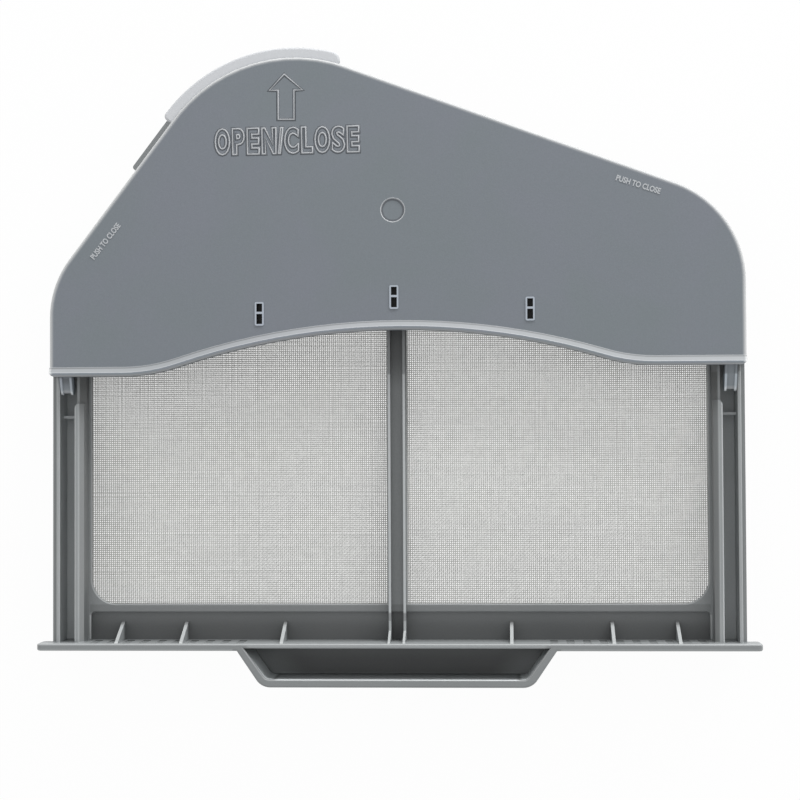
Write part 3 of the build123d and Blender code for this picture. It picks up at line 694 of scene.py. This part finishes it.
# %% Filament
filament, tree, shader = new_material("screen_filament")
where = add_node(tree, "ShaderNodeTexCoord", (-900, 0))
wander = add_node(tree, "ShaderNodeTexNoise", (-700, 0), Scale=420.0, Detail=5.0, Roughness=0.65)
join(tree, where.outputs["Object"], wander.inputs["Vector"])
tone = add_node(tree, "ShaderNodeValToRGB", (-450, 0))
tone.color_ramp.elements[0].position = 0.35
tone.color_ramp.elements[0].color = linear(185, 186, 183)
tone.color_ramp.elements[1].position = 0.65
tone.color_ramp.elements[1].color = linear(203, 204, 201)
join(tree, wander.outputs["Fac"], tone.inputs["Fac"])
shader.inputs["Roughness"].default_value = 0.42
screen_shades = [
    # Painted light on the upper part of both screens and of the right one, and more on what lies
    # beside and under the cover, against the cover's shade
    hollow((-140, 140), (62, 300), (10, 16), (1.0, (25.0, 1.0), 1.0), -0.07),
    hollow((0, 140), (62, 300), (10, 16), (1.0, (25.0, 1.0), 1.0), -0.09),
    hollow((-140, 140), (123, 300), (10, 16), (1.0, (6.0, 1.0), 1.0), -0.25),
    # Darker towards the bottom, and along the left edge
    hollow((-140, 140), (0, 40), (10, 16), (1.0, (1.0, 25.0), 1.0), 0.05),
    hollow((-140, -115), (0, 75), (10, 16), ((1.0, 8.0), (1.0, 20.0), 1.0), 0.14),
]
hollow_shade(tree, shader, tone, screen_shades)
print("filament ready")

# %% [markdown]
# ## Woven screens
# Each screen is a plain weave: every thread runs over one crossing thread and under the next. The
# threads of one direction make one piece. A thread is a three-sided tube with a ring at each
# crossing, raised or lowered in turn, so a few faces a crossing are enough. Real threads are
# never quite evenly spaced, so each is set off by a small chance amount. The outline of the
# window decides which crossings are kept.

# %% Outline of a screen
seat_margin = 1.0
arc_steps = 60


def arc_points(centre, radius, start, end):
    """Points on an arc: centre plus radius times the cosine and sine of an even run of angles."""
    angle = np.linspace(start, end, arc_steps)
    return np.stack([centre[0] + radius * np.cos(angle), centre[1] + radius * np.sin(angle)], 1)


def window_top(x, inset):
    """Height of the case's inset outline over each x: three arcs joined by straight slopes."""
    left_normal, right_normal = slope_normals()
    right_arc = arc_points(right_shoulder, right_shoulder_radius - inset, 0, right_normal)
    peak_arc = arc_points(peak, peak_radius - inset, right_normal, left_normal)
    left_arc = arc_points(left_shoulder, left_shoulder_radius - inset, left_normal, math.pi)
    rim = np.concatenate([right_arc, peak_arc, left_arc])[::-1]
    return np.interp(x, rim[:, 0], rim[:, 1])


def window_foot(x, inset, bottom, corner):
    """Lower edge of a window over each x: a straight line with a quarter circle at its outer corner."""
    past = np.clip(np.abs(x) - (case_half - inset - corner), 0, corner)
    return bottom + corner - np.sqrt(corner**2 - past**2)


# %% Threads
thread_pitch = 0.86
thread_radius = 0.23
thread_lift = 0.17
uneven = 0.04
bow = 0.10
bow_length_x, bow_length_y = 23.0, 19.0
bow_phase_x, bow_phase_y = 0.6, 1.1
weave_seed = 5


def mesh_object(name, vertices, faces, material, smooth=True):
    """A mesh object from an array of points in millimetres and lists of faces."""
    mesh = bpy.data.meshes.new(name)
    mesh.from_pydata((vertices * MM).tolist(), [], faces)
    mesh.polygons.foreach_set("use_smooth", np.full(len(mesh.polygons), smooth))
    mesh.materials.append(material)
    mesh.update()
    piece = bpy.data.objects.new(name, mesh)
    bpy.context.collection.objects.link(piece)
    return piece


def threads(name, x_line, y_line, inside, over, along_y):
    """Tubes along one direction of a weave.

    A ring of three points stands at each kept crossing: the crossing's place, lifted by the thread's
    lift where the thread goes over and lowered where it goes under, plus the radius times the cosine
    and sine of 30, 150 and 270 degrees, across the thread and up.
    """
    columns, rows = np.nonzero(inside)
    angle = np.radians([30, 150, 270])
    across = thread_radius * np.cos(angle)
    up = thread_radius * np.sin(angle)
    centre_x = x_line[columns, rows][:, None]
    centre_y = y_line[columns, rows][:, None]
    centre_z = screen_z + thread_lift * over[columns, rows][:, None]
    ring_x = centre_x + (across if along_y else 0 * across)
    ring_y = centre_y + (0 * across if along_y else across)
    ring_z = centre_z + up
    points = np.stack([ring_x, ring_y + seat_y, ring_z], 2).reshape(-1, 3)

    index = np.full(inside.shape, -1)
    index[columns, rows] = np.arange(len(columns)) * 3
    if not along_y:
        index = index.T
    first, second = index[:, :-1], index[:, 1:]
    linked = (first >= 0) & (second >= 0)
    a, b = first[linked], second[linked]
    sides = []
    for k in range(3):
        n = (k + 1) % 3
        quad = (a + k, b + k, b + n, a + n) if along_y else (a + k, a + n, b + n, b + k)
        sides.append(np.stack(quad, 1))
    blank = np.full((index.shape[0], 1), -1)
    before = np.concatenate([blank, index[:, :-1]], 1)
    after = np.concatenate([index[:, 1:], blank], 1)
    starts = index[(index >= 0) & (before < 0)]
    ends = index[(index >= 0) & (after < 0)]
    turn = (0, 1, 2) if along_y else (2, 1, 0)
    start_caps = np.stack([starts + k for k in turn], 1)
    end_caps = np.stack([ends + k for k in turn[::-1]], 1)
    faces = np.concatenate(sides).tolist() + start_caps.tolist() + end_caps.tolist()
    print(name, "triangles", 2 * len(np.concatenate(sides)) + len(start_caps) + len(end_caps))
    return mesh_object(name, points, faces, filament)


# %% Weave both screens
for side, node in ((-1, "mesh_left"), (1, "mesh_right")):
    inner = bar_half - seat_margin
    outer = case_half - window_inset + seat_margin
    lowest = window_bottom - seat_margin
    x_row = np.sort(side * np.arange(inner + thread_pitch / 2, outer, thread_pitch))
    y_row = np.arange(lowest + thread_pitch / 2, peak[1] + peak_radius, thread_pitch)
    x_grid, y_grid = np.meshgrid(x_row, y_row, indexing="ij")
    inset = window_inset - seat_margin
    top = window_top(x_grid, inset)
    foot = window_foot(x_grid, inset, lowest, window_corner + seat_margin)
    inside = (y_grid < top) & (y_grid > foot)
    column, row = np.indices(inside.shape)
    over = np.where((column + row) % 2 == 0, 1.0, -1.0)
    chance = np.random.default_rng(weave_seed + side)
    drift_x = bow * np.sin(y_grid / bow_length_x + bow_phase_x * side)
    drift_x = drift_x + chance.normal(0, uneven, x_row.size)[:, None]
    drift_y = bow * np.sin(x_grid / bow_length_y + bow_phase_y * side)
    drift_y = drift_y + chance.normal(0, uneven, y_row.size)[None, :]
    warp = threads(node + "_warp", x_grid + drift_x, y_grid + drift_y, inside, over, True)
    weft = threads(node + "_weft", x_grid + drift_x, y_grid + drift_y, inside, -over, False)
    for piece in (warp, weft):
        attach(piece, "frame")
        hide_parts(node)

# %% [markdown]
# ## Raised marks
# The cover carries an arrow, and plain words for opening and closing it. The large word and the
# arrow are thin raised lines: a round bead along each letter's outline and along the arrow's
# seven corners, in a pale plastic that paints their highlight, with a flat darker line under it
# that paints the shade beside the bead. The small words are thin raised plates in the same pale
# plastic. Text is a curve in Blender, so it is made a mesh first and then laid in place.


# %% Marks
curve_steps = 4
plate_thickness = 0.1
bead_sides = 6


def text_curve(words):
    """A text curve that draws only the outlines of some words."""
    curve = bpy.data.curves.new("words", "FONT")
    curve.body = words
    curve.fill_mode = "NONE"
    curve.resolution_u = curve_steps
    return curve


def curve_mesh(curve):
    """Mesh of a curve, with the curve's own object taken away again."""
    holder = bpy.data.objects.new("words", curve)
    bpy.context.collection.objects.link(holder)
    bpy.context.view_layer.update()
    ready = holder.evaluated_get(bpy.context.evaluated_depsgraph_get())
    mesh = bpy.data.meshes.new_from_object(ready)
    bpy.data.objects.remove(holder)
    return mesh


def mesh_points(mesh):
    """Points of a mesh as rows of x, y and z."""
    points = np.empty(len(mesh.vertices) * 3)
    mesh.vertices.foreach_get("co", points)
    return points.reshape(-1, 3)


def mitres(path):
    """Sideways vector at each corner of a closed path that keeps an even distance from both sides.

    It is the sum of the sides' normals over one plus their dot product, held at sharp corners.
    """
    ahead = np.roll(path, -1, 0) - path
    ahead /= np.linalg.norm(ahead, axis=1)[:, None]
    normal_ahead = np.stack([-ahead[:, 1], ahead[:, 0]], 1)
    normal_behind = np.roll(normal_ahead, 1, 0)
    closeness = 1 + (normal_ahead * normal_behind).sum(1)
    return (normal_ahead + normal_behind) / np.maximum(closeness, 0.5)[:, None]


def closed_bead(path, radius, sides):
    """A round bead along a closed flat path.

    At each corner the ring stands in the plane that halves the turn: the corner plus the mitre
    vector times the cosine, and straight up times the sine, of an even run of angles.
    """
    angle = np.linspace(0, 2 * np.pi, sides, endpoint=False)
    flat = path[:, None, :] + radius * np.cos(angle)[None, :, None] * mitres(path)[:, None, :]
    up = np.broadcast_to(radius * np.sin(angle), flat.shape[:2])
    points = np.concatenate([flat, up[:, :, None]], 2).reshape(-1, 3)
    ring, spoke = np.meshgrid(np.arange(len(path)), np.arange(sides), indexing="ij")
    next_ring, next_spoke = (ring + 1) % len(path), (spoke + 1) % sides
    quads = np.stack(
        [
            ring * sides + spoke,
            ring * sides + next_spoke,
            next_ring * sides + next_spoke,
            next_ring * sides + spoke,
        ],
        2,
    ).reshape(-1, 4)
    return points, quads


def letter_loops(letter, bold):
    """Closed outlines of one letter, thickened: each point is moved sideways along its mitre vector."""
    mesh = curve_mesh(text_curve(letter))
    points = mesh_points(mesh)[:, :2]
    pairs = np.empty(len(mesh.edges) * 2, int)
    mesh.edges.foreach_get("vertices", pairs)
    pairs = np.sort(pairs.reshape(-1, 2), 1)
    closing = pairs[pairs[:, 1] - pairs[:, 0] > 1]
    loops = [points[low : high + 1] for low, high in closing]
    loops = [loop[np.linalg.norm(loop - np.roll(loop, 1, 0), axis=1) > 1e-4] for loop in loops]
    return [loop - bold * mitres(loop) for loop in loops]


def lay(points, start, turn):
    """Turns flat points about the origin, moves them to a place, and sets them on the cover."""
    x = start[0] + points[:, 0] * math.cos(turn) - points[:, 1] * math.sin(turn)
    y = start[1] + points[:, 0] * math.sin(turn) + points[:, 1] * math.cos(turn)
    return np.stack([x, y + seat_y, points[:, 2] + cover_front_z], 1)


def outline_paths(letters, height, bead, bold):
    """Closed paths of a word on a level line, each letter fitted to its own place and width."""
    paths = []
    for letter, place, width in letters:
        loops = letter_loops(letter, bold)
        low, high = np.concatenate(loops).min(0), np.concatenate(loops).max(0)
        stretch = (np.array([width, height]) - 2 * bead) / (high - low)
        paths += [(loop - low) * stretch + [place + bead, bead] for loop in loops]
    return paths


def bead_mark(name, paths, start, end, bead, rise, material):
    """Beads along closed paths as one piece, their height times a rise, laid along a line."""
    turn = math.atan2(end[1] - start[1], end[0] - start[0])
    points, faces, count = [], [], 0
    for path in paths:
        ring, quads = closed_bead(path, bead, bead_sides)
        points.append(ring * [1, 1, rise])
        faces.append(quads + count)
        count += len(ring)
    print(name, "triangles", 2 * sum(len(quads) for quads in faces))
    laid = lay(np.concatenate(points), start, turn)
    return mesh_object(name, laid, np.concatenate(faces).tolist(), material)


def plain_words(name, words, start, end, height, depth, bold):
    """Words as thin raised plates: filled text, scaled to a line's length and a letter height."""
    curve = text_curve(words)
    curve.fill_mode = "BOTH"
    curve.extrude = plate_thickness
    curve.offset = bold
    mesh = curve_mesh(curve)
    points = mesh_points(mesh)
    low, high = points.min(0), points.max(0)
    length = math.hypot(end[0] - start[0], end[1] - start[1])
    points = (points - low) / (high - low) * [length, height, 2 * depth] - [0, 0, depth]
    turn = math.atan2(end[1] - start[1], end[0] - start[0])
    faces = [list(face.vertices) for face in mesh.polygons]
    print(name, "triangles", sum(len(face) - 2 for face in faces))
    return mesh_object(name, lay(points, start, turn), faces, painted_highlight_plastic, smooth=False)


open_close = (
    ("O", 0.0, 6.6),
    ("P", 7.3, 5.4),
    ("E", 13.5, 5.5),
    ("N", 19.7, 6.4),
    ("/", 26.5, 2.5),
    ("C", 29.2, 6.3),
    ("L", 36.3, 5.1),
    ("O", 41.9, 6.7),
    ("S", 49.0, 5.8),
    ("E", 55.4, 5.5),
)
word_height, word_bold = 11.4, 0.045
small_height, small_depth, small_bold = 2.5, 0.2, 0.035
bead_radius = 0.3
round_rise = 1.0
line_radius = 0.75
line_rise = 0.06
word_start, word_end = (-75.0, 203.5), (-14.1, 204.1)
word_paths = outline_paths(open_close, word_height, bead_radius, word_bold)
marks = []
# Pale beads carry the painted highlight, and flat darker lines under them the painted shade
for name, radius, rise, material in (
    ("mark_open_close", bead_radius, round_rise, painted_highlight_plastic),
    ("line_open_close", line_radius, line_rise, painted_shade_plastic),
):
    marks.append(bead_mark(name, word_paths, word_start, word_end, radius, rise, material))
# Small words in the pale plastic, as a painted highlight
for name, start, end in (
    ("mark_push_left", (-125.8, 160.3), (-114.5, 174.5)),
    ("mark_push_right", (91.7, 191.1), (109.8, 185.1)),
):
    words = "PUSH TO CLOSE"
    marks.append(plain_words(name, words, start, end, small_height, small_depth, small_bold))

# %% Arrow
arrow_radius = 0.26
arrow = np.array(
    [
        (-45.7, 237.3),
        (-52.0, 230.6),
        (-48.3, 230.6),
        (-48.3, 218.4),
        (-41.6, 218.3),
        (-41.6, 230.6),
        (-38.0, 230.6),
    ]
)
# Arrow: a pale bead with painted highlight, and a flat darker line with painted shade
for name, radius, rise, material in (
    ("mark_arrow", arrow_radius, round_rise, painted_highlight_plastic),
    ("line_arrow", line_radius, line_rise, painted_shade_plastic),
):
    marks.append(bead_mark(name, [arrow], (0, 0), (1, 0), radius, rise, material))
print("arrow corners", len(arrow))

# %% [markdown]
# ## Gate ring
# Where the plastic was fed into the mould, the cover has a round recess with a sloped edge. The
# edge is a thin section turned about the recess's middle, whose slope faces inwards and up and is
# made of the pale plastic as a painted highlight, with a painted shade line at its foot.

# %% Gate ring
gate = (-0.6, 179.9)
gate_steps = 72
gate_section = np.array(
    [(5.2, 0.0), (5.15, 0.05), (5.08, 0.05), (4.75, -0.48), (5.08, -0.48), (5.08, 0.0)]
)
# Painted shade line at the foot of the recess
gate_line = np.array([(4.75, -0.5), (4.75, -0.42), (4.0, -0.48), (4.0, -0.5)])


def turned_ring(section, steps):
    """A section of radius and height turned about a middle.

    Each corner becomes a circle: its radius times the cosine and sine of an even run of angles.
    """
    angle = np.linspace(0, 2 * np.pi, steps, endpoint=False)
    x = np.cos(angle)[:, None] * section[None, :, 0]
    y = np.sin(angle)[:, None] * section[None, :, 0]
    z = np.broadcast_to(section[None, :, 1], x.shape)
    points = np.stack([x, y, z], 2).reshape(-1, 3)
    corners = len(section)
    ring, corner = np.meshgrid(np.arange(steps), np.arange(corners), indexing="ij")
    next_ring, next_corner = (ring + 1) % steps, (corner + 1) % corners
    quads = np.stack(
        [
            ring * corners + corner,
            ring * corners + next_corner,
            next_ring * corners + next_corner,
            next_ring * corners + corner,
        ],
        2,
    ).reshape(-1, 4)
    return points, quads


for name, section, material in (
    ("gate_ring", gate_section, painted_highlight_plastic),
    ("gate_line", gate_line, painted_shade_plastic),
):
    points, faces = turned_ring(section, gate_steps)
    marks.append(mesh_object(name, lay(points, gate, 0), faces.tolist(), material, smooth=False))
for mark in marks:
    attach(mark, "cover")
print("marks", [mark.name for mark in marks])
